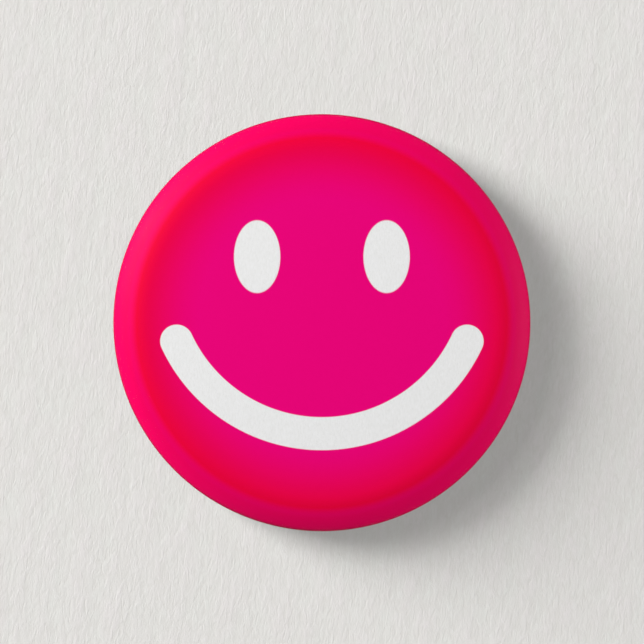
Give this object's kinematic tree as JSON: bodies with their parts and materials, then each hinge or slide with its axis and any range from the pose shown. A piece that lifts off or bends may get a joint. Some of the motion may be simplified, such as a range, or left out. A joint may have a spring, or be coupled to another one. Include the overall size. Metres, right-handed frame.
{
  "type": "pin-back button badge",
  "caption": "Round domed button badge with a printed face under clear film, a pressed shell, a back collet ring and a bent spring wire pin that opens.",
  "frame": {"origin": "centre of the rest plane at the back, where the rim touches a table with the face up", "axes": "+Z out of the printed face; +X to the right and +Y up on the printed face; the pin lies along X, above the centre"},
  "size_m": [0.032, 0.032, 0.005],
  "materials": {
    "film": "clear satin-gloss film",
    "print": "printed coated paper",
    "tinplate": "bare tinplate, satin",
    "collet_tinplate": "bright tinplate, satin",
    "pin_wire": "drawn and plated steel wire"
  },
  "bodies": {
    "badge": {"clear_film": "film", "printed_insert": "print", "front_shell": "tinplate", "back_collet": "collet_tinplate", "spring_wire": "pin_wire"},
    "pin": {"pin_needle": "pin_wire"}
  },
  "joints": [
    {"name": "needle_open", "type": "hinge", "parent": "badge", "child": "pin", "pos_m": [-0.0106, 0.0025, 0.0015], "axis": [0, 0.5, -0.866], "range_deg": [0, 45], "stiffness_Nm_per_rad": 0.002}
  ]
}
